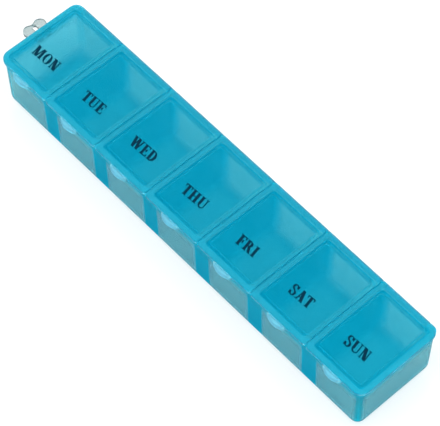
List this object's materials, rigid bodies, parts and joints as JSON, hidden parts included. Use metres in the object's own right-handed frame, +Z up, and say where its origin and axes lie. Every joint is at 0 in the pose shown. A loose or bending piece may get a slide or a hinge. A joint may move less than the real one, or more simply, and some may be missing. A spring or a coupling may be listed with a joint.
{
  "type": "weekly pill organizer",
  "caption": "Long translucent pill box with a row of separate compartments, each under its own flip lid with a finger lip, and a small clear pull tab at one end.",
  "frame": {"origin": "centre of the tray's flat underside", "axes": "+X along the row from the Monday end to the Sunday end, +Y towards the hinges, +Z up"},
  "size_m": [0.1536, 0.032, 0.0225],
  "materials": {
    "teal_plastic": "glossy translucent",
    "clear_plastic": "glossy clear"
  },
  "bodies": {
    "box": {"tray": "teal_plastic", "pull_tab": "clear_plastic"},
    "lid_mon_body": {"lid_mon": "teal_plastic"},
    "lid_tue_body": {"lid_tue": "teal_plastic"},
    "lid_wed_body": {"lid_wed": "teal_plastic"},
    "lid_thu_body": {"lid_thu": "teal_plastic"},
    "lid_fri_body": {"lid_fri": "teal_plastic"},
    "lid_sat_body": {"lid_sat": "teal_plastic"},
    "lid_sun_body": {"lid_sun": "teal_plastic"}
  },
  "joints": [
    {"name": "lid_mon_hinge", "type": "hinge", "parent": "box", "child": "lid_mon_body", "pos_m": [-0.06429, 0.0138, 0.01975], "axis": [-1, 0, 0], "range_deg": [0, 130]},
    {"name": "lid_tue_hinge", "type": "hinge", "parent": "box", "child": "lid_tue_body", "pos_m": [-0.04286, 0.0138, 0.01975], "axis": [-1, 0, 0], "range_deg": [0, 130]},
    {"name": "lid_wed_hinge", "type": "hinge", "parent": "box", "child": "lid_wed_body", "pos_m": [-0.02143, 0.0138, 0.01975], "axis": [-1, 0, 0], "range_deg": [0, 130]},
    {"name": "lid_thu_hinge", "type": "hinge", "parent": "box", "child": "lid_thu_body", "pos_m": [0, 0.0138, 0.01975], "axis": [-1, 0, 0], "range_deg": [0, 130]},
    {"name": "lid_fri_hinge", "type": "hinge", "parent": "box", "child": "lid_fri_body", "pos_m": [0.02143, 0.0138, 0.01975], "axis": [-1, 0, 0], "range_deg": [0, 130]},
    {"name": "lid_sat_hinge", "type": "hinge", "parent": "box", "child": "lid_sat_body", "pos_m": [0.04286, 0.0138, 0.01975], "axis": [-1, 0, 0], "range_deg": [0, 130]},
    {"name": "lid_sun_hinge", "type": "hinge", "parent": "box", "child": "lid_sun_body", "pos_m": [0.06429, 0.0138, 0.01975], "axis": [-1, 0, 0], "range_deg": [0, 130]}
  ]
}
